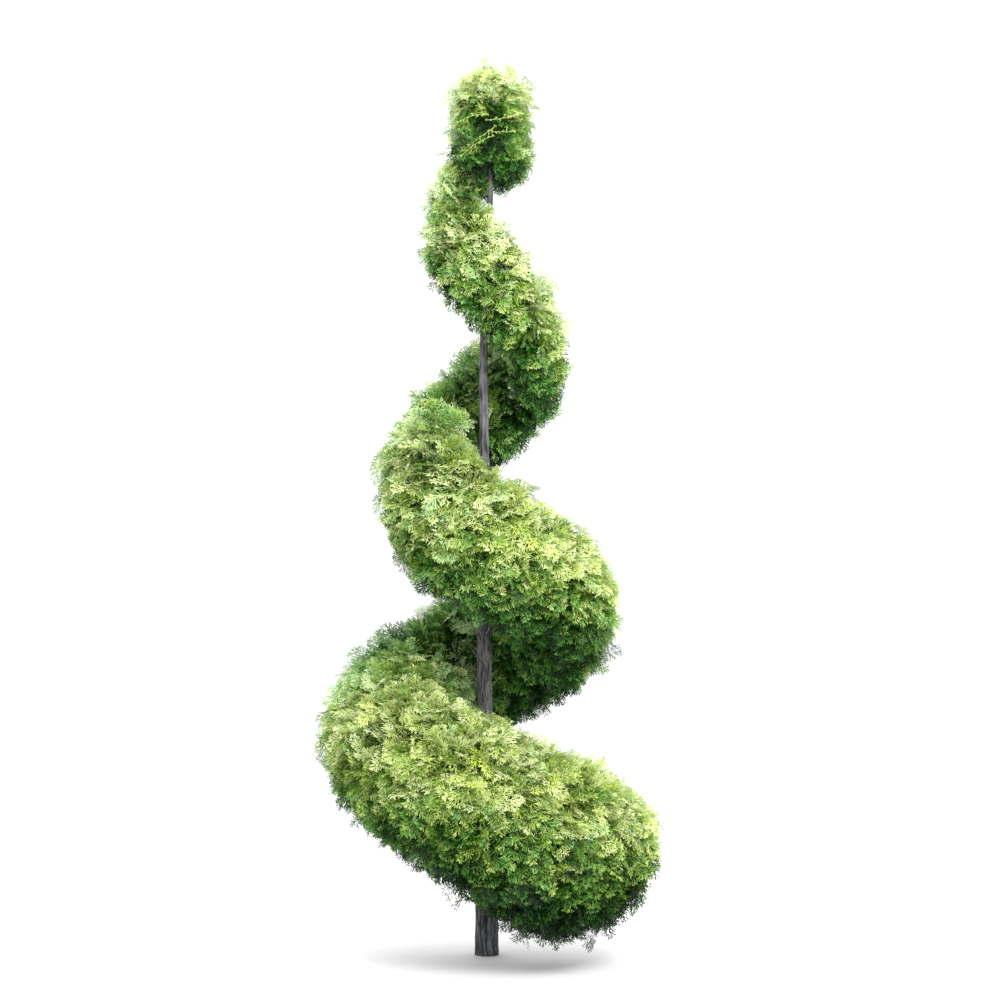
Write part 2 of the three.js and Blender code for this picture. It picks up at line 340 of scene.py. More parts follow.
# Bark: its fibres and how much they are drawn out upwards, its slow patches and how they dim and
# brighten it, its tones at the foot and higher up, and the heights between which it changes.
BARK_ROUGHNESS = 0.88
BARK_SPECULAR = 0.25
FIBRES = {"scale": 165, "detail": 5, "roughness": 0.65}
FIBRE_STRETCH = 0.12
BARK_PATCHES = {"scale": 14, "detail": 3, "roughness": 0.5}
PATCH_SPAN = (0.3, 0.7)
PATCH_LIGHT = (0.75, 1.2)
FOOT_BARK = {"tones": ((11, 12, 14), (124, 126, 130)), "span": (0.38, 0.68)}
HIGH_BARK = {"tones": ((48, 46, 49), (134, 131, 135)), "span": (0.37, 0.65)}
BARK_CHANGES = (0.15, 1.9)
BARK_BUMP_STRENGTH = 0.7
BARK_BUMP_DISTANCE = 0.0015

# Each family's tints run from deep shade to the palest tips, as seen on a screen, so they hold
# painted light and shade.
TINT_FAMILIES = {
    "green": [
        (14, 42, 8), (33, 69, 15), (60, 99, 26), (94, 132, 39),
        (131, 163, 60), (164, 189, 90), (195, 212, 128), (221, 231, 168),
    ],
    "yellow": [
        (24, 50, 8), (50, 84, 15), (84, 120, 26), (119, 154, 38),
        (153, 184, 55), (184, 207, 80), (209, 225, 110), (228, 239, 148),
    ],
    "blue": [
        (11, 41, 7), (23, 67, 12), (42, 94, 21), (68, 123, 37),
        (101, 153, 62), (136, 178, 94), (169, 202, 133), (203, 223, 168),
    ],
}
TINTS = len(TINT_FAMILIES["green"])


def plain_leaf(name, colour):
    """Scale leaves of one colour, a little waxy."""
    material = bpy.data.materials.new(name)
    material.use_nodes = True
    shader = material.node_tree.nodes["Principled BSDF"]
    shader.inputs["Base Color"].default_value = srgb(*colour)
    shader.inputs["Roughness"].default_value = LEAF_ROUGHNESS
    shader.inputs["Specular IOR Level"].default_value = LEAF_SPECULAR
    return material


def leaf_materials():
    """All the tints in a row, family by family."""
    return [
        plain_leaf(f"foliage_{family}_{i}", colour)
        for family, colours in TINT_FAMILIES.items()
        for i, colour in enumerate(colours)
    ]


def plain_bark(name, colour):
    """The bark of limbs and twigs, of one colour."""
    material = plain_leaf(name, colour)
    shader = material.node_tree.nodes["Principled BSDF"]
    shader.inputs["Roughness"].default_value = TWIG_ROUGHNESS
    return material


def ramp(nodes, tones, span):
    """A colour ramp between two tones, over a span of its factor."""
    node = nodes.new("ShaderNodeValToRGB")
    for element, tone, position in zip(node.color_ramp.elements, tones, span):
        element.position = position
        element.color = srgb(*tone)
    return node


def map_range(nodes, source, target):
    """A node that carries one range of values over to another."""
    node = nodes.new("ShaderNodeMapRange")
    node.inputs["From Min"].default_value = source[0]
    node.inputs["From Max"].default_value = source[1]
    node.inputs["To Min"].default_value = target[0]
    node.inputs["To Max"].default_value = target[1]
    return node


def noise_texture(nodes, scale, detail, roughness):
    """A noise texture in the object's own space."""
    node = nodes.new("ShaderNodeTexNoise")
    node.inputs["Scale"].default_value = scale
    node.inputs["Detail"].default_value = detail
    node.inputs["Roughness"].default_value = roughness
    return node


def bark_material():
    """Fibrous bark: charcoal with pale flecks at the foot, smoother and paler grey higher up."""
    material = bpy.data.materials.new("bark_fibrous")
    material.use_nodes = True
    nodes, links = material.node_tree.nodes, material.node_tree.links
    shader = nodes["Principled BSDF"]
    shader.inputs["Roughness"].default_value = BARK_ROUGHNESS
    shader.inputs["Specular IOR Level"].default_value = BARK_SPECULAR
    place = nodes.new("ShaderNodeTexCoord")

    stretch = nodes.new("ShaderNodeMapping")
    stretch.inputs["Scale"].default_value = (1.0, 1.0, FIBRE_STRETCH)
    links.new(place.outputs["Object"], stretch.inputs["Vector"])
    fibres = noise_texture(nodes, **FIBRES)
    links.new(stretch.outputs["Vector"], fibres.inputs["Vector"])
    patches = noise_texture(nodes, **BARK_PATCHES)
    links.new(place.outputs["Object"], patches.inputs["Vector"])

    foot_tones = ramp(nodes, **FOOT_BARK)
    high_tones = ramp(nodes, **HIGH_BARK)
    links.new(fibres.outputs["Fac"], foot_tones.inputs["Fac"])
    links.new(fibres.outputs["Fac"], high_tones.inputs["Fac"])
    height = nodes.new("ShaderNodeSeparateXYZ")
    links.new(place.outputs["Object"], height.inputs["Vector"])
    climb = map_range(nodes, BARK_CHANGES, (0.0, 1.0))
    links.new(height.outputs["Z"], climb.inputs["Value"])
    tones = nodes.new("ShaderNodeMix")
    tones.data_type = "RGBA"
    links.new(climb.outputs["Result"], tones.inputs["Factor"])
    links.new(foot_tones.outputs["Color"], tones.inputs["A"])
    links.new(high_tones.outputs["Color"], tones.inputs["B"])

    patch_light = map_range(nodes, PATCH_SPAN, PATCH_LIGHT)
    links.new(patches.outputs["Fac"], patch_light.inputs["Value"])
    toned = nodes.new("ShaderNodeVectorMath")
    toned.operation = "SCALE"
    links.new(tones.outputs["Result"], toned.inputs["Vector"])
    links.new(patch_light.outputs["Result"], toned.inputs["Scale"])
    links.new(toned.outputs["Vector"], shader.inputs["Base Color"])

    bump = nodes.new("ShaderNodeBump")
    bump.inputs["Strength"].default_value = BARK_BUMP_STRENGTH
    bump.inputs["Distance"].default_value = BARK_BUMP_DISTANCE
    links.new(fibres.outputs["Fac"], bump.inputs["Height"])
    links.new(bump.outputs["Normal"], shader.inputs["Normal"])
    return material


# ---- What the frame gives -----------------------------------------------------------------


def nodes_of_slot(slot):
    """The CAD nodes whose finish is that slot, in the record's order."""
    rows = frame["record"]["subparts"]
    return [row["node"] for row in rows if row["material_slot"] == slot]


class Trunk:
    """The trunk's centre line and radius by height, measured from the rings of its solid."""

    def __init__(self, node):
        points, _ = welded(node)
        heights = np.unique(points[:, 2].round(4))
        rings = [points[np.abs(points[:, 2] - z) < RING_HEIGHT_GAP] for z in heights]
        kept = [(z, ring) for z, ring in zip(heights, rings) if len(ring) > RING_POINTS_LEAST]
        self.z = np.array([z for z, _ in kept])
        low = np.array([ring[:, :2].min(0) for _, ring in kept])
        high = np.array([ring[:, :2].max(0) for _, ring in kept])
        self.middle = (low + high) / 2
        self.radii = (high - low).mean(1) / 2

    def centre(self, z):
        x = np.interp(z, self.z, self.middle[:, 0])
        y = np.interp(z, self.z, self.middle[:, 1])
        return np.stack([x, y, np.broadcast_to(z, np.shape(x))], -1)

    def radius(self, z):
        return np.interp(z, self.z, self.radii)


class Limb:
    """A bough's ends and thickness, measured from its solid."""

    def __init__(self, node, trunk):
        points, _ = welded(node)
        middle = points.mean(0)
        _, _, axes = np.linalg.svd(points - middle)
        axis = axes[0]
        from_trunk = middle - trunk.centre(middle[2])
        if axis @ from_trunk < 0:
            axis = -axis
        along = (points - middle) @ axis
        aside = points - middle - np.outer(along, axis)
        self.start = middle + axis * along.min()
        self.end = middle + axis * along.max()
        self.radius = float(np.linalg.norm(aside, axis=1).max())
        self.axis = axis


def sky_directions():
    """Directions spread evenly over the upper half of the sky, a little below level included."""
    i = np.arange(SKY_RAYS) + 0.5
    z = 1 - i / SKY_RAYS * SKY_SPAN
    turn = i * GOLDEN_ANGLE
    flat = np.sqrt(np.maximum(0, 1 - z**2))
    return np.stack([flat * np.cos(turn), flat * np.sin(turn), z], 1)


class Shell:
    """The clipped surface of one mass: its skin without the cuts to its neighbours."""

    def __init__(self, node, others, every):
        points, triangles = welded(node)
        middles = points[triangles].mean(1)
        at_cut = np.array([others.find_nearest(Vector(m))[3] < CUT_FACE_GAP for m in middles])
        self.points = points
        self.triangles = triangles[~at_cut]
        facing = triangle_normals(points, self.triangles)
        self.areas = np.linalg.norm(facing, axis=1) / 2
        normals = np.zeros_like(points)
        for corner in range(3):
            np.add.at(normals, self.triangles[:, corner], facing)
        self.normals = unit(normals)
        self.own = tree_of(points, triangles)
        self.sky = self.sky_share(every)

    def sky_share(self, every):
        """How much of the sky each point of the skin sees, 1 for an open level top."""
        directions = sky_directions()
        weights = np.maximum(directions[:, 2], 0) + SKY_LEVEL_WEIGHT
        whole = (weights * np.maximum(directions[:, 2], 0)).sum()
        share = np.zeros(len(self.points))
        for i, (point, normal) in enumerate(zip(self.points, self.normals)):
            start = Vector(point + normal * RAY_START)
            for direction, weight in zip(directions, weights):
                facing = direction @ normal
                if facing <= SKY_FACING_LEAST:
                    continue
                if every.ray_cast(start, Vector(direction))[0] is None:
                    share[i] += weight * facing
        return share / whole

    def spread(self, count, rng, tries=7):
        """count places on the skin, kept apart: (points, normals, sky shares)."""
        odds = np.cumsum(self.areas) / self.areas.sum()
        total = count * tries
        picks = np.searchsorted(odds, rng.random(total)).clip(max=len(odds) - 1)
        a, b = rng.random(total), rng.random(total)
        over = a + b > 1
        a[over], b[over] = 1 - a[over], 1 - b[over]
        weights = np.stack([1 - a - b, a, b], 1)[:, :, None]
        corners = self.triangles[picks]
        points = (self.points[corners] * weights).sum(1)
        kept = [0]
        nearest = np.linalg.norm(points - points[0], axis=1)
        for k in range(1, count):
            group = slice(k * tries, (k + 1) * tries)
            best = k * tries + int(nearest[group].argmax())
            kept.append(best)
            nearest = np.minimum(nearest, np.linalg.norm(points - points[best], axis=1))
        normals = unit((self.normals[corners[kept]] * weights[kept]).sum(1))
        sky = (self.sky[corners[kept]] * weights[kept][:, :, 0]).sum(1)
        return points[kept], normals, sky

    def is_outside(self, point):
        """Whether a point lies out of the mass or only just under its skin."""
        nearest, facing, _, _ = self.own.find_nearest(Vector(point))
        return (Vector(point) - nearest).dot(facing) > OUTSIDE_ABOVE

    def thickness(self, points, normals):
        """How far it is through the mass, inwards from each point."""
        depths = np.full(len(points), THICKEST)
        for i, (point, normal) in enumerate(zip(points, normals)):
            hit = self.own.ray_cast(Vector(point - normal * RAY_START_INSIDE), Vector(-normal))
            if hit[0] is not None:
                depths[i] = hit[3]
        return depths


# ---- The shape of a frond -----------------------------------------------------------------

# The proportions of a shoot, a spray and a frond. Places and lengths are shares of the length of
# what carries the part, angles are in radians, and tones are in steps of tint. The tones, darker
# at the feet and paler towards the tips, are painted shade and painted light.
SHOOT = Sizes(
    pitch=0.18, fork_angle=(0.42, 0.72), fork_from=(0.32, 0.46), fork_step=0.16,
    fork_length=(0.46, 0.6), fork_pitch=0.15, fork_tone=0.7,
)
SPRAY = Sizes(
    pitch=0.16, width_varies=(0.88, 1.15), stem_length=0.86, stem_width=0.8, stem_tone=-0.6,
    shoots_span=(0.14, 0.74), shoot_angle=(0.55, 0.8), straighter=0.25, shoot_length=0.62,
    shorter=0.3, length_varies=(0.8, 1.2), paler=0.45, end_from=0.8, end_scatter=0.1,
    end_length=0.32, end_tone=0.7,
)
FROND = Sizes(
    sprays_span=(0.2, 0.7), spray_angle=(0.5, 0.9), wider=1.15, straighter=0.5,
    spray_length=0.58, shorter=0.2, length_varies=(0.9, 1.12), foot_tone=-1.4, paler=1.5,
    tone_scatter=0.35, end_from=0.58, end_scatter=0.12, end_length=0.44, end_tone=0.2,
)


class Blades:
    """Flat leaf blades, collected as points and triangles. Each triangle has a tone, how many
    tints lighter than its frond it is, and the number of its blade and of its spray."""

    def __init__(self):
        self.points, self.triangles, self.tones = [], [], []
        self.blades, self.sprays = [], []
        self.spray = 0

    def add(self, points, triangles, tone):
        first = len(self.points)
        blade = self.blades[-1] + 1 if self.blades else 0
        self.points += points
        self.triangles += [tuple(first + corner for corner in t) for t in triangles]
        self.tones += [tone] * len(triangles)
        self.blades += [blade] * len(triangles)
        self.sprays += [self.spray] * len(triangles)

    def stroke(self, root, heading, pitch, length, width, tone):
        """A long blunt blade, narrower at its root. Returns where a share of its length is."""
        ahead = np.array([math.sin(heading), math.cos(heading), pitch])
        aside = np.array([math.cos(heading), -math.sin(heading), 0.0]) * width / 2
        tip = root + ahead * length
        corners = [root - aside * ROOT_WIDTH, root + aside * ROOT_WIDTH, tip + aside, tip - aside]
        self.add(corners, [(0, 1, 2), (0, 2, 3)], tone)
        return lambda share: root + ahead * length * share

    def wedge(self, root, heading, pitch, length, width, tone):
        """A small blunt blade: it widens from its root to a square tip."""
        ahead = np.array([math.sin(heading), math.cos(heading), pitch])
        aside = np.array([math.cos(heading), -math.sin(heading), 0.0]) * width / 2
        tip = root + ahead * length
        self.add([root, tip + aside, tip - aside], [(0, 1, 2)], tone)

    def done(self):
        """The blades as arrays."""
        parts = (self.points, self.triangles, self.tones, self.blades, self.sprays)
        self.points, self.triangles, self.tones, self.blades, self.sprays = map(np.array, parts)
        return self


def add_shoot(blades, rng, root, heading, length, width, forks, tone):
    """A side shoot: one long blade, and short ones that fork off it to either side."""
    pitch = rng.normal(0, SHOOT.pitch)
    at = blades.stroke(root, heading, pitch, length, width, tone)
    side = rng.choice([-1, 1])
    for fork in range(forks):
        aside = heading + side * rng.uniform(*SHOOT.fork_angle)
        share = rng.uniform(*SHOOT.fork_from) + SHOOT.fork_step * fork
        reach = length * rng.uniform(*SHOOT.fork_length)
        lift = pitch + rng.normal(0, SHOOT.fork_pitch)
        blades.wedge(at(share), aside, lift, reach, width, tone + SHOOT.fork_tone)
        side = -side


def add_spray(blades, rng, root, heading, length, layer, tone):
    """A flat spray: a stem with side shoots to the left and right in turn, and a forked end."""
    pitch = rng.normal(0, SPRAY.pitch)
    width = layer["width"] * rng.uniform(*SPRAY.width_varies)
    forks = layer["forks"]
    stem_width = width * SPRAY.stem_width
    stem_length = length * SPRAY.stem_length
    at = blades.stroke(root, heading, pitch, stem_length, stem_width, tone + SPRAY.stem_tone)
    side = rng.choice([-1, 1])
    for i in range(SHOOTS_ON_SPRAY):
        share = between(SPRAY.shoots_span, i / (SHOOTS_ON_SPRAY - 1))
        lean = side * rng.uniform(*SPRAY.shoot_angle) * (1 - SPRAY.straighter * share)
        reach = length * (SPRAY.shoot_length - SPRAY.shorter * share)
        reach *= rng.uniform(*SPRAY.length_varies)
        lighter = tone + SPRAY.paler * share
        add_shoot(blades, rng, at(share), heading + lean, reach, width, forks, lighter)
        side = -side
    end = heading + rng.normal(0, SPRAY.end_scatter)
    reach = length * SPRAY.end_length
    lighter = tone + SPRAY.end_tone
    add_shoot(blades, rng, at(SPRAY.end_from), end, reach, width, forks, lighter)
    blades.spray += 1


def frond_template(rng, layer):
    """A flat frond along +Y from the origin, FROND_LENGTH long: sprays on both sides of a twig,
    darker at its foot as painted shade and paler at its end as painted light."""
    blades = Blades()
    side = rng.choice([-1, 1])
    for i in range(SPRAYS_ON_FROND - 1):
        share = between(FROND.sprays_span, i / (SPRAYS_ON_FROND - 2))
        root = np.array([0.0, FROND_LENGTH * share, 0.0])
        lean = side * rng.uniform(*FROND.spray_angle)
        lean *= FROND.wider - FROND.straighter * share
        length = FROND_LENGTH * (FROND.spray_length - FROND.shorter * share)
        length *= rng.uniform(*FROND.length_varies)
        tone = FROND.foot_tone + FROND.paler * share + rng.normal(0, FROND.tone_scatter)
        add_spray(blades, rng, root, lean, length, layer, tone)
        side = -side
    root = np.array([0.0, FROND_LENGTH * FROND.end_from, 0.0])
    lean = rng.normal(0, FROND.end_scatter)
    length = FROND_LENGTH * FROND.end_length
    add_spray(blades, rng, root, lean, length, layer, FROND.end_tone)
    return blades.done()


def long_shoot_template(rng):
    """A long pale shoot that sets out along +Y: a slender stem in overlapping lengths that
    wanders a little, with forks to one side and the other and two at its end."""
    blades = Blades()
    steps = LONG_SHOOT.steps
    step = LONG_SHOOT.length / steps
    overlap = LONG_SHOOT.overlap
    width, fork_width = LONG_SHOOT.width, LONG_SHOOT.fork_width
    root, heading = np.zeros(3), 0.0
    bend = rng.normal(0, LONG_SHOOT.bend)
    for i in range(steps):
        pitch = rng.normal(0, LONG_SHOOT.pitch)
        at = blades.stroke(root, heading, pitch, step * overlap, width, 0)
        lean = heading + rng.choice([-1, 1]) * rng.uniform(*LONG_SHOOT.fork_angle)
        reach = step * rng.uniform(*LONG_SHOOT.fork_length)
        reach *= between(LONG_SHOOT.fork_growth, i / steps)
        add_shoot(blades, rng, root, lean, reach, fork_width, 1, 0)
        root = at(1 / overlap)
        heading += bend + rng.normal(0, LONG_SHOOT.wander)
    for lean in LONG_SHOOT.end_angles:
        reach = step * rng.uniform(*LONG_SHOOT.end_length)
        add_shoot(blades, rng, root, heading + lean, reach, width, 1, 0)
    return blades.done()


def inner_template(rng):
    """A coarse frond from further in: a few dark blades and their forks."""
    blades = Blades()
    width = INNER.width
    for i in range(INNER.blades):
        heading = (i - (INNER.blades - 1) / 2) * INNER.fan
        heading += rng.normal(0, INNER.fan_scatter)
        length = INNER.length * rng.uniform(*INNER.length_varies)
        pitch = rng.normal(0, INNER.pitch)
        at = blades.stroke(np.zeros(3), heading, pitch, length, width, 0)
        sides = (-1, 1, rng.choice([-1, 1]))
        for share, side in zip(INNER.fork_shares, sides):
            fork = heading + side * rng.uniform(*INNER.fork_angle)
            pitch = rng.normal(0, INNER.pitch)
            reach = length * INNER.fork_length
            blades.wedge(at(share), fork, pitch, reach, width, INNER.fork_tone)
    return blades.done()


# ---- Where the fronds grow ----------------------------------------------------------------


def outward(points, trunk):
    """The level direction from the trunk to each point."""
    away = points - trunk.centre(points[:, 2])
    away[:, 2] = 0
    return unit(away)


def frond_directions(points, normals, trunk, rng):
    """Which way each frond points, and the way its flat upper side faces."""
    level = 1 - np.abs(normals[:, 2:])
    top = np.maximum(normals[:, 2:], 0)
    ahead = normals - SIDE_DROOP * level * UP + TOP_LEAN * top * outward(points, trunk)
    ahead = unit(ahead + rng.normal(0, DIRECTION_SCATTER, normals.shape))
    facing = FACES_UP * UP + FACES_OUT * normals
    facing += rng.normal(0, ROLL_SCATTER, normals.shape)
    return ahead, facing


def frond_axes(ahead, facing):
    """A frond's own axes as rows: aside, ahead, and square to its flat upper side."""
    facing = unit(facing - (facing @ ahead) * ahead)
    return np.stack([np.cross(ahead, facing), ahead, facing])


def patch(point, size, offset=0.0):
    """Slow noise over the plant, about -1 to 1, in patches of about that size."""
    return noise.noise(Vector(point) / size + Vector((offset, 0, 0)))


class Foliage:
    """The fronds of one mass, collected into one mesh."""

    def __init__(self):
        self.points, self.triangles, self.tints = [], [], []
        self.count = 0

    def add(self, points, triangles, levels, families=0):
        """Adds a frond, with each triangle's level of tint and its family."""
        tints = levels.round().clip(0, TINTS - 1).astype(int)
        self.points.append(points)
        self.triangles.append(triangles + self.count)
        self.tints.append(tints + TINTS * families)
        self.count += len(points)

    def arrays(self):
        parts = (self.points, self.triangles, self.tints)
        return tuple(np.concatenate(part) for part in parts)


def clear_of_trunk(points, triangles, tints, trunk):
    """The blades without those that would hide the trunk's upper end from the front."""
    middles = points[triangles].mean(1)
    centre = trunk.centre(middles[:, 2])
    aside = np.abs(middles[:, 0] - centre[:, 0])
    slot = trunk.radius(middles[:, 2]) + TIP_SLOT.margin
    before = (aside < slot) & (middles[:, 1] < centre[:, 1])
    kept = ~(before & (middles[:, 2] < TIP_SLOT.top))
    return points, triangles[kept], tints[kept]


def openness(sky, normals):
    """How open to the light a place is, 0 to 1: by its share of the sky, with painted light added
    on tops and on the plant's left and right."""
    # Painted light: a bonus on tops and on the plant's left and right.
    light = sky + TOP_PAINTED_LIGHT * np.maximum(normals[:, 2], 0) + SIDE_PAINTED_LIGHT * np.abs(normals[:, 0])
    return np.clip((light - DARK_SKY) / (OPEN_SKY - DARK_SKY), 0, 1) ** OPENNESS_POWER


def back_share(point):
    """0 at the plant's front, rising to 1 round its back."""
    return min(1, max(0, (point[1] - BACK_STARTS) / BACK_REACH))


def left_share(point):
    """1 at the plant's far left, falling to 0 at its far right."""
    return min(1, max(0, (cad_high[0] - point[0]) / (cad_high[0] - cad_low[0])))


def place_tint(point, normal, open_share, inward):
    """The tint of a place, with painted light and shade: paler the more open to the light it is,
    varied by slow patches, with painted shade on undersides, near the ground and on tops round
    the back, and painted light round the back where it faces the trunk."""
    tint = between((SHADE_TINT, OPEN_TINT), open_share)
    tint += PATCH_TINT * patch(point, PATCH_SIZE)
    # Painted shade on undersides and near the ground.
    tint -= UNDERSIDE_PAINTED_SHADE * max(0, -normal[2])
    tint -= GROUND_PAINTED_SHADE * max(0, 1 - point[2] / GROUND_REACH)
    # Painted shade on tops round the back, and painted light where they face the trunk.
    back = back_share(point)
    tint -= BACK_TOP_PAINTED_SHADE * back * max(0, normal[2] - BACK_TOP_FROM)
    tint += BACK_INNER_PAINTED_LIGHT * back * inward * max(0, normal[2])
    return tint


def families_of(point, open_share, sprays, rng):
    """Each spray's family, 0 green, 1 yellow or 2 blue, by slow patches and a roll of the dice
    that comes out cooler as painted shade: in the shade, and at the back to the left."""
    # Painted shade: cooler sprays in the shade and at the back to the left.
    painted_shade_cooling = SHADE_COOLER * max(0, SHADE_BELOW - open_share)
    painted_shade_cooling += BACK_PAINTED_SHADE_COOLER * back_share(point) * left_share(point)
    warmth = patch(point, WARM_PATCH_SIZE, WARM_PATCH_OFFSET) * WARM_PATCH
    warmth = warmth + rng.random(sprays) - 0.5 - painted_shade_cooling
    return np.where(warmth > YELLOW_OVER, 1, np.where(warmth < BLUE_UNDER, 2, 0))


class CrownShape:
    """How the crown's foliage differs place by place: how far it is sunk, and its painted shade,
    dark in the hollow, and painted light, pale on the top. Other masses differ nowhere."""

    def __init__(self, shell, points, normals, is_crown):
        self.sink = np.zeros(len(points))
        self.darker = np.zeros(len(points))
        if not is_crown:
            return
        across = points - (shell.points.min(0) + shell.points.max(0)) / 2
        beside = (across[:, 0] - PARTING.aside) / PARTING.width
        parting = np.exp(-(beside**2)) * np.maximum(normals[:, 2], 0)
        dx = across[:, 0] / HOLLOW.half_width
        dz = (across[:, 2] - HOLLOW.rise) / HOLLOW.half_height
        hollow = np.exp(-(dx**2) - dz**2) * np.maximum(-normals[:, 1], 0)
        self.sink = PARTING.depth * parting + HOLLOW.depth * hollow
        low, high = CROWN_PAINTED_LIGHT_SPAN
        painted_light = np.clip((across[:, 2] / across[:, 2].max() - low) / (high - low), 0, 1)
        # Painted shade in the hollow; painted light on the top, as negative shade.
        self.darker = HOLLOW.darker * hollow - CROWN_TOP_PAINTED_LIGHT * painted_light


def bent_frond(frond, size, rng):
    """A frond's points at that size, turned over or not and curled downwards, and its end."""
    curl = rng.uniform(*CURL)
    bent = frond.points * size
    bent[:, 0] *= rng.choice([-1, 1])
    bent[:, 2] -= curl * bent[:, 1] ** 2
    reach = FROND_LENGTH * size
    return bent, np.array([0, reach, -curl * reach**2])


def pressed_back(points, place, normal, limit, softness=0.0):
    """The points with those that stand higher than limit over a place of the shell pressed
    back, all the way or but for a soft share."""
    over = np.maximum((points - place) @ normal - limit, 0) * (1 - softness)
    return points - over[:, None] * normal


def rises_of(layer, ahead, normals, crown, is_crown, rng):
    """How high each frond's tip stands over the shell. Strays of the outermost layer stand
    proud, and lean out further."""
    count = len(normals)
    rise = rng.normal(-layer["depth"], layer["spread"], count)
    strays = rng.random(count) < STRAY_SHARE * (CROWN_STRAYS if is_crown else 1)
    strays &= crown.darker < 1
    if layer is LAYERS[0]:
        reach = CROWN_STRAY_REACH if is_crown else STRAY_REACH
        rise[strays] += reach * rng.random(strays.sum())
        ahead[strays] = unit(ahead[strays] + STRAY_LEAN * normals[strays])
    return rise - crown.sink


def grow_fronds(foliage, shell, trunk, templates, layer, rng, is_crown):
    """One layer of the mass's fronds. Returns where each one starts inside the mass."""
    finer = CROWN_FINER if is_crown else 1
    count = int(shell.areas.sum() * layer["per_m2"] / finer**2)
    points, normals, sky = shell.spread(count, rng)
    crown = CrownShape(shell, points, normals, is_crown)
    open_share = openness(sky, normals)
    sizes = shell.thickness(points, normals) * FROND_SIZE_BY_THICKNESS + FROND_SIZE_LEAST
    inward = np.maximum(0, -(normals * outward(points, trunk)).sum(1))
    ahead, facing = frond_directions(points, normals, trunk, rng)
    rise = rises_of(layer, ahead, normals, crown, is_crown, rng)
    feet = []
    for i in range(count):
        frond = templates[rng.integers(len(templates))]
        size = min(1.0, sizes[i]) * rng.uniform(*FROND_SIZE_VARIES) * finer
        bent, end = bent_frond(frond, size, rng)
        tip = points[i] + normals[i] * rise[i]
        axes = frond_axes(ahead[i], facing[i])
        if shell.is_outside(tip - end @ axes):
            axes = frond_axes(unit(ahead[i] + STEEPER * normals[i]), facing[i])
        foot = tip - end @ axes
        feet.append(foot)
        limit = CLIP_HEIGHT - crown.sink[i] + max(rise[i], 0)
        placed = pressed_back(foot + bent @ axes, points[i], normals[i], limit, CLIP_SOFTNESS)
        # Painted light and shade: paler where open to the light, darker for the deeper layer and the
        # crown's hollow, paler on the crown's top.
        tint = place_tint(points[i], normals[i], open_share[i], inward[i])
        tint -= layer["darker"] + crown.darker[i] + STRAY_DARKER * max(rise[i], 0) / STRAY_REACH
        tint += rng.normal(0, FROND_TINT_SCATTER)
        tint += rng.normal(0, SPRAY_TINT_SCATTER, SPRAYS_ON_FROND)[frond.sprays]
        tint += rng.normal(0, BLADE_TINT_SCATTER, frond.blades[-1] + 1)[frond.blades]
        # Painted light on the pale tips and painted shade at the dark feet, stronger in the shade.
        tint += frond.tones * between(TONE_GAIN, open_share[i])
        families = families_of(points[i], open_share[i], SPRAYS_ON_FROND, rng)[frond.sprays]
        foliage.add(placed, frond.triangles, tint, families)
    return np.array(feet)


def grow_long_shoots(foliage, shell, rng):
    """Long pale shoots that set out from the crown's hollow, left and right in turn."""
    middle = (shell.points.min(0) + shell.points.max(0)) / 2
    scatter = LONG_SHOOT.start_scatter
    for k in range(LONG_SHOOT.count):
        side = 1 if k % 2 else -1
        start = middle + np.array([rng.uniform(-scatter, scatter), 0, 0])
        start[2] += between(LONG_SHOOT.rise, k / (LONG_SHOOT.count - 1))
        before = Vector((start[0], cad_low[1] - 1, start[2]))
        skin = shell.own.ray_cast(before, Vector((0, 1, 0)))[0]
        start[1] = skin.y + LONG_SHOOT.start_gap
        ahead = unit(np.array([side, LONG_SHOOT.forward, rng.normal(*LONG_SHOOT.climb)]))
        facing = np.array(LONG_SHOOT.facing) * (side, 1, 1)
        shoot = long_shoot_template(rng)
        bent = shoot.points * rng.uniform(*LONG_SHOOT.size)
        bent[:, 2] -= LONG_SHOOT.droop * bent[:, 1] ** 2
        placed = start + bent @ frond_axes(ahead, facing)
        foliage.add(placed, shoot.triangles, LONG_SHOOT.tint + shoot.tones)


def grow_limb_sprays(foliage, limbs, templates, rng):
    """Small fronds along the bare part of each bough, dark with painted shade."""
    for limb in limbs:
        bare = np.linalg.norm(limb.end - limb.start)
        count = math.ceil(bare / LIMB_SPRAY_SPACING)
        for share in np.linspace(LIMB_SPRAYS_FROM, 1.0, count):
            frond = templates[rng.integers(len(templates))]
            foot = between((limb.start, limb.end), share)
            ahead = unit(limb.axis + rng.normal(0, LIMB_SPRAY_SCATTER, 3))
            axes = frond_axes(ahead, UP + rng.normal(0, LIMB_SPRAY_ROLL, 3))
            placed = foot + frond.points * rng.uniform(*LIMB_SPRAY_SIZE) @ axes
            # Painted shade: the tint of full shade, a little paler.
            foliage.add(placed, frond.triangles, SHADE_TINT + LIMB_SPRAY_PALER + frond.tones)


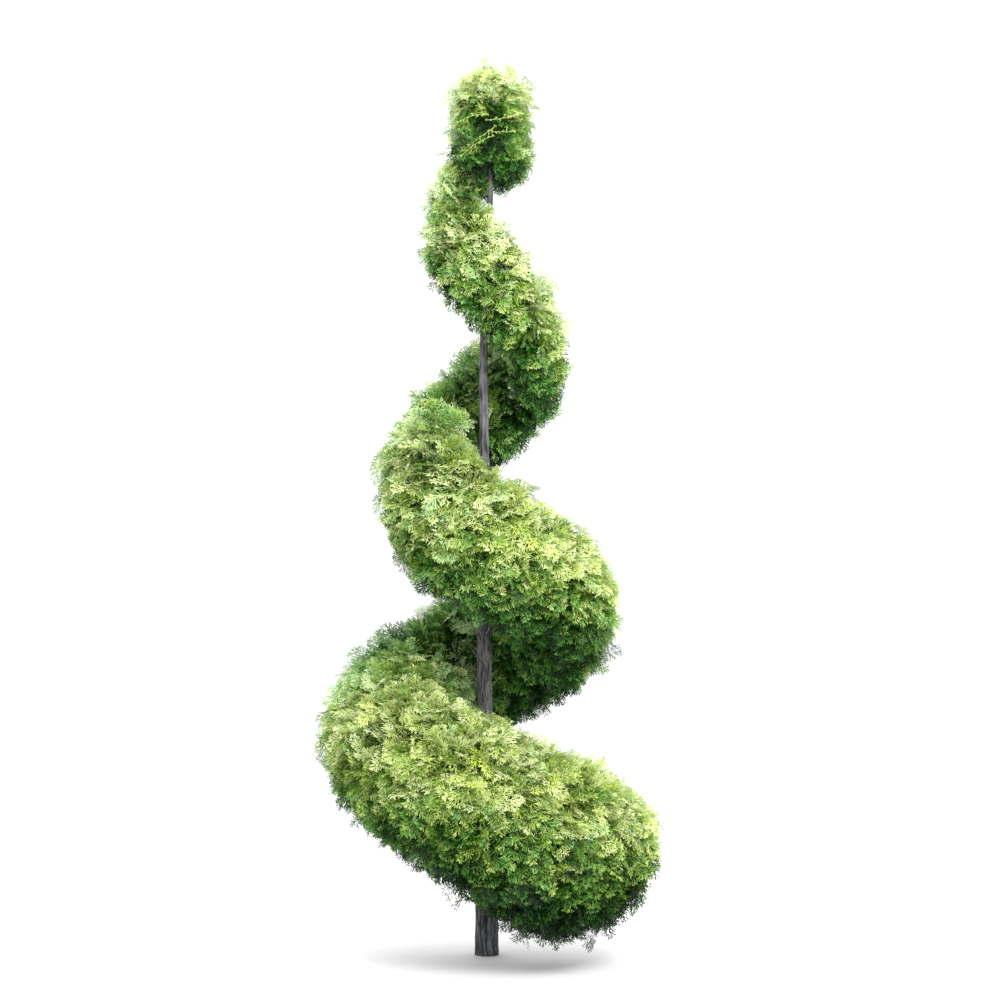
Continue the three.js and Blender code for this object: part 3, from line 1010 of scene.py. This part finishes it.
def grow_inner(foliage, shell, templates, rng, is_crown):
    """Coarse fronds further in, dark with painted shade, added to the mass's foliage."""
    count = int(shell.areas.sum() * INNER.per_m2)
    points, normals, _ = shell.spread(count, rng, tries=2)
    crown = CrownShape(shell, points, normals, is_crown)
    depths = shell.thickness(points, normals)
    for i in range(count):
        frond = templates[rng.integers(len(templates))]
        ahead = unit(normals[i] + rng.normal(0, INNER.direction_scatter, 3))
        aside = unit(np.cross(ahead, rng.normal(0, 1, 3)))
        axes = np.stack([aside, ahead, np.cross(aside, ahead)])
        half_deep = min(rng.uniform(*INNER.depth), depths[i] / 2) / 2
        size = min(1.0, INNER.size_least + depths[i] * INNER.size_by_thickness)
        foot = points[i] - normals[i] * half_deep - ahead * INNER.length * size
        placed = foot + frond.points * size @ axes
        placed = pressed_back(placed, points[i], normals[i], -half_deep - crown.sink[i])
        # Painted shade: a dark tint, paler where the crown's top has painted light.
        tint = rng.normal(INNER.tint, INNER.tint_scatter)
        tint -= INNER.paler_share * min(crown.darker[i], 0)
        foliage.add(placed, frond.triangles, tint + frond.tones)


# ---- Wood inside the masses ---------------------------------------------------------------


class Branching:
    """Limbs that branch from a few roots out to every frond's foot: each foot in turn, nearest
    first, is joined to the nearest wood there is."""

    def __init__(self):
        self.points, self.parents, self.least = [], [], []

    def add(self, point, parent, radius=TWIG_RADIUS):
        self.points.append(point)
        self.parents.append(parent)
        self.least.append(radius)
        return len(self.points) - 1

    def reach(self, foot, rng):
        """Joins foot to the nearest wood by a short crooked run of nodes."""
        wood = np.array(self.points)
        gaps = np.linalg.norm(wood - foot, axis=1)
        parent = int(gaps.argmin())
        start, gap = wood[parent], gaps[parent]
        steps = max(1, round(gap / NODE_SPACING))
        for k in range(1, steps + 1):
            share = k / steps
            sag = UP * SAG * gap * math.sin(math.pi * share)
            crook = rng.normal(0, CROOK, 3) * (k < steps)
            parent = self.add(between((start, foot), share) - sag + crook, parent)

    def radii(self):
        """Each node's radius, from the twigs that it carries."""
        carried = np.zeros(len(self.points))
        for i in range(len(self.points) - 1, -1, -1):
            carried[i] = max(carried[i], self.least[i] ** PIPE_POWER)
            if self.parents[i] >= 0:
                carried[self.parents[i]] += carried[i]
        radii = np.minimum(carried ** (1 / PIPE_POWER), LARGEST_LIMB)
        return np.maximum(radii, self.least)


# Over this share of upright, an axis takes another direction than up to find its sideways.
MOSTLY_UPRIGHT = 0.9


def tube(start, end, start_radius, end_radius, sides):
    """A tapering limb between two points, open at both ends: (points, quads)."""
    axis = unit(end - start)
    not_along = UP if abs(axis[2]) < MOSTLY_UPRIGHT else np.array([1.0, 0, 0])
    first = unit(np.cross(axis, not_along))
    second = np.cross(axis, first)
    turn = np.arange(sides) * 2 * math.pi / sides
    ring = np.outer(np.cos(turn), first) + np.outer(np.sin(turn), second)
    points = np.concatenate([start + ring * start_radius, end + ring * end_radius])
    i = np.arange(sides)
    j = (i + 1) % sides
    return points, np.stack([i, j, j + sides, i + sides], 1)


class Tubes:
    """Tubes collected into one mesh."""

    def __init__(self):
        self.points, self.quads, self.count = [], [], 0

    def add(self, *shape):
        points, quads = tube(*shape)
        self.points.append(points)
        self.quads.append(quads + self.count)
        self.count += len(points)

    def arrays(self):
        return np.concatenate(self.points), np.concatenate(self.quads)


def wood_of(branching):
    """The limbs as (points, quads), thick and thin apart."""
    radii = branching.radii()
    kinds = {"limbs": Tubes(), "twigs": Tubes()}
    for i, parent in enumerate(branching.parents):
        if parent < 0:
            continue
        kind = "limbs" if radii[parent] > TWIGS_BELOW else "twigs"
        sides = ROUND_SIDES if radii[parent] > ROUND_ABOVE else SIDES[kind]
        start, end = branching.points[parent], branching.points[i]
        overlap = unit(end - start) * radii[i] / 2
        kinds[kind].add(start - overlap, end, radii[parent] * LIMB_SLIMMER, radii[i], sides)
    return {kind: tubes.arrays() for kind, tubes in kinds.items() if tubes.count}


def grow_wood(shell, limbs, trunk, feet, rng):
    """Branches from the mass's boughs, and from a few thin shoots of the trunk, to its fronds."""
    branching = Branching()
    for limb in limbs:
        inside = trunk.centre(limb.start[2] - BOUGH_ROOT_DROP)
        root = branching.add(inside, -1, limb.radius)
        start = branching.add(limb.start, root, limb.radius)
        branching.add(limb.end, start, limb.radius * BOUGH_TAPER)
    low, high = feet[:, 2].min(), feet[:, 2].max()
    for _ in range(EXTRA_SHOOTS if limbs else 3 * EXTRA_SHOOTS):
        z = rng.uniform(low, between((low, high), EXTRA_SHOOTS_UP_TO))
        start = trunk.centre(min(z, trunk.z[-1] - TIP_BARE))
        near = feet[np.linalg.norm(feet - start, axis=1).argsort()[:EXTRA_SHOOT_GOALS]]
        goal = near[rng.integers(len(near))]
        root = branching.add(start, -1, EXTRA_SHOOT_RADII[0])
        halfway = (start + goal) / 2 + UP * EXTRA_SHOOT_RISE
        branching.add(halfway, root, EXTRA_SHOOT_RADII[1])
    roots = np.array(branching.points)
    gaps = np.linalg.norm(feet[:, None] - roots[None], axis=2).min(1)
    for i in gaps.argsort():
        branching.reach(feet[i], rng)
    return wood_of(branching)


def bare_twigs(trunk, rng):
    """Thin bare twigs that rise from the trunk, forked at a knee: (points, quads)."""
    tubes = Tubes()
    sides = SIDES["twigs"]
    for k in range(BARE_TWIGS):
        z = between(BARE_TWIG_HEIGHTS, (k + rng.random()) / BARE_TWIGS)
        turn = rng.uniform(0, 2 * math.pi)
        away = np.array([math.cos(turn), math.sin(turn), 0.0])
        start = trunk.centre(z) + away * trunk.radius(z) * BARE_TWIG_ROOT
        climb = UP * rng.uniform(*BARE_TWIG_CLIMB)
        ahead = unit(away + climb + rng.normal(0, BARE_TWIG_SCATTER, 3))
        reach = rng.uniform(*BARE_TWIG_LENGTH)
        knee = start + ahead * reach * BARE_TWIG_KNEE
        tubes.add(start, knee, BARE_TWIG_RADII["foot"], BARE_TWIG_RADII["knee"], sides)
        for fork in ("knee", "fork"):
            heading = unit(ahead + rng.normal(0, BARE_TWIG_FORK, 3))
            tip = knee + heading * reach * (1 - BARE_TWIG_KNEE)
            tubes.add(knee, tip, BARE_TWIG_RADII[fork], BARE_TWIG_RADII["tip"], sides)
    return tubes.arrays()


# ---- The trunk's bark ---------------------------------------------------------------------


def bark_noise(kind, x, y, z, sway=(0, 0)):
    """One kind of the bark's relief at a place that is swayed sideways, about -1 to 1."""
    place = (x * kind.across + sway[0], y * kind.across + sway[1], z * kind.upwards)
    return noise.noise(Vector(place))


def bark_height(angle, z):
    """The bark's relief, about 0 to 1: fibrous upright strips that run together and part."""
    x, y = math.cos(angle), math.sin(angle)
    sway = BARK_SWAY.share * bark_noise(BARK_SWAY, x, y, z)
    strip = bark_noise(BARK_STRIPS, x, y, z, (sway, sway))
    fine = bark_noise(BARK_FINE, x, y, z, (0, sway))
    return 1 - abs(strip) * BARK_STRIPS.share + fine * BARK_FINE.share


def trunk_skin(trunk):
    """A fine skin with the bark's relief on the trunk's own shape, open at both ends."""
    top = trunk.z[-1]
    rings = int(top / TRUNK_RING_SPACING)
    points = []
    for k in range(rings + 1):
        z = top * k / rings
        centre = trunk.centre(z)
        radius = float(trunk.radius(z))
        relief = min(radius * BARK_RELIEF, BARK_RELIEF_MOST)
        for i in range(TRUNK_SIDES):
            angle = 2 * math.pi * i / TRUNK_SIDES
            reach = radius + relief * (bark_height(angle, z) - BARK_MIDDLE) * 2
            points.append(centre + reach * np.array([math.cos(angle), math.sin(angle), 0]))
    points = np.array(points)
    k, i = np.meshgrid(np.arange(rings), np.arange(TRUNK_SIDES), indexing="ij")
    j = (i + 1) % TRUNK_SIDES
    a, b = k * TRUNK_SIDES + i, k * TRUNK_SIDES + j
    quads = np.stack([a, b, b + TRUNK_SIDES, a + TRUNK_SIDES], -1).reshape(-1, 4)
    return points, quads


def close_ends(piece, ring_sides):
    """Fills the flat cuts at the foot and the tip."""
    bm = bmesh.new()
    bm.from_mesh(piece.data)
    bm.verts.ensure_lookup_table()
    bm.faces.new(bm.verts[:ring_sides][::-1])
    bm.faces.new(bm.verts[-ring_sides:])
    bm.to_mesh(piece.data)
    bm.free()


# ---- The plant ----------------------------------------------------------------------------

# The limbs' bark is darkened as painted shade of the inside of the masses.
LIMB_COLOUR_WITH_PAINTED_SHADE = (46, 49, 34)
TWIG_COLOUR = (64, 84, 42)
# The bare twigs are lightened as painted light, to show in the shaded gap between the turns.
BARE_TWIG_COLOUR_WITH_PAINTED_LIGHT = (150, 142, 126)


def joined(solids):
    """Several solids as one (points, triangles)."""
    points, triangles, count = [], [], 0
    for own_points, own_triangles in solids:
        points.append(own_points)
        triangles.append(own_triangles + count)
        count += len(own_points)
    return np.concatenate(points), np.concatenate(triangles)


def build_trunk(trunk):
    """The trunk in its bark, and its bare twigs."""
    points, quads = trunk_skin(trunk)
    bark = [bark_material()]
    piece = make_piece("trunk_with_bark", points, quads, bark, ["trunk"], smooth=True)
    close_ends(piece, TRUNK_SIDES)
    points, quads = bare_twigs(trunk, np.random.default_rng(SEED))
    bark = [plain_bark("bark_of_bare_twigs_with_painted_light", BARE_TWIG_COLOUR_WITH_PAINTED_LIGHT)]
    make_piece("trunk_twigs", points, quads, bark, smooth=True)


def build_mass(name, shell, trunk, fronds, inner_fronds, materials, rng):
    """One mass of foliage, as leaves, limbs and twigs. The mass without boughs is the crown."""
    boughs = [bough for bough in nodes_of_slot("bark") if bough.startswith(f"{name}_bough")]
    limbs = [Limb(bough, trunk) for bough in boughs]
    is_crown = not boughs
    foliage = Foliage()
    feet = [
        grow_fronds(foliage, shell, trunk, templates, layer, rng, is_crown)
        for templates, layer in zip(fronds, LAYERS)
    ][0]
    grow_inner(foliage, shell, inner_fronds, rng, is_crown)
    if is_crown:
        grow_long_shoots(foliage, shell, rng)
    grow_limb_sprays(foliage, limbs, fronds[1], rng)
    points, triangles, tints = foliage.arrays()
    if is_crown:
        points, triangles, tints = clear_of_trunk(points, triangles, tints, trunk)
    leaves = materials["leaves"]
    make_piece(f"{name}_leaves", points, triangles, leaves, [name], tints)
    for kind, (points, quads) in grow_wood(shell, limbs, trunk, feet, rng).items():
        replaced = boughs if kind == "limbs" else ()
        bark = materials[kind]
        make_piece(f"{name}_{kind}", points, quads, bark, replaced, smooth=True)


def build_plant():
    """The trunk, then every mass, each with random draws of its own."""
    materials = {
        "leaves": leaf_materials(),
        "limbs": [plain_bark("bark_of_limbs_with_painted_shade", LIMB_COLOUR_WITH_PAINTED_SHADE)],
        "twigs": [plain_bark("bark_of_twigs", TWIG_COLOUR)],
    }
    trunk = Trunk("trunk")
    build_trunk(trunk)
    solids = {name: welded(name) for name in nodes_of_slot("foliage")}
    every = tree_of(*joined(solids.values()))
    rng = np.random.default_rng(SEED)
    fronds = [[frond_template(rng, layer) for _ in range(FROND_TEMPLATES)] for layer in LAYERS]
    inner_fronds = [inner_template(rng) for _ in range(FROND_TEMPLATES)]
    for number, name in enumerate(solids):
        others = tree_of(*joined(solid for other, solid in solids.items() if other != name))
        shell = Shell(name, others, every)
        rng = np.random.default_rng([SEED, number])
        build_mass(name, shell, trunk, fronds, inner_fronds, materials, rng)


# ---- Floor, light and camera --------------------------------------------------------------

FLOOR_SIDE = 120
FLOOR_COLOUR = (0.8, 0.8, 0.8, 1)
FLOOR_ROUGHNESS = 0.9
WORLD_STRENGTH = 1.28
SOFTBOXES = {
    "front": {"watts": 162, "side": 2.2, "place": (1.5, -2.8, 3.5)},
    "back": {"watts": 90, "side": 2.6, "place": (-0.6, 1.9, 3.8)},
}
SOFTBOX_AIM = (0.0, 0.0, 1.4)


def make_floor():
    """A plain pale floor, far wider than the view."""
    half = FLOOR_SIDE / 2
    mesh = bpy.data.meshes.new("floor")
    corners = [(-half, -half, 0), (half, -half, 0), (half, half, 0), (-half, half, 0)]
    mesh.from_pydata(corners, [], [(0, 1, 2, 3)])
    material = bpy.data.materials.new("floor_pale")
    material.use_nodes = True
    shader = material.node_tree.nodes["Principled BSDF"]
    shader.inputs["Base Color"].default_value = FLOOR_COLOUR
    shader.inputs["Roughness"].default_value = FLOOR_ROUGHNESS
    mesh.materials.append(material)
    floor = bpy.data.objects.new("floor", mesh)
    bpy.context.scene.collection.objects.link(floor)


def make_world():
    """White studio surroundings."""
    world = bpy.data.worlds.new("studio")
    world.use_nodes = True
    background = world.node_tree.nodes["Background"]
    background.inputs["Color"].default_value = (1, 1, 1, 1)
    background.inputs["Strength"].default_value = WORLD_STRENGTH
    bpy.context.scene.world = world


def make_softboxes():
    """Broad soft lights above the plant: a strong one in front and a weak one behind."""
    for name, box in SOFTBOXES.items():
        lamp = bpy.data.lights.new(f"softbox_{name}", "AREA")
        lamp.shape = "SQUARE"
        lamp.size = box["side"]
        lamp.energy = box["watts"]
        holder = bpy.data.objects.new(f"softbox_{name}", lamp)
        holder.location = box["place"]
        facing = Vector(box["place"]) - Vector(SOFTBOX_AIM)
        holder.rotation_euler = facing.to_track_quat("Z", "Y").to_euler()
        bpy.context.scene.collection.objects.link(holder)


def make_camera():
    """The photograph's view: nearly level, from a long way off."""
    data = bpy.data.cameras.new("camera")
    data.lens = CAMERA_LENS
    data.sensor_width = 36
    data.clip_end = 200
    camera = bpy.data.objects.new("camera", data)
    camera.location = (CAMERA_RIGHT, -CAMERA_DISTANCE, CAMERA_HEIGHT)
    camera.rotation_euler = (math.pi / 2 - CAMERA_TILT, 0, 0)
    bpy.context.scene.collection.objects.link(camera)
    bpy.context.scene.camera = camera


build_plant()
make_floor()
make_world()
make_softboxes()
make_camera()
bpy.context.scene.view_settings.view_transform = "Standard"
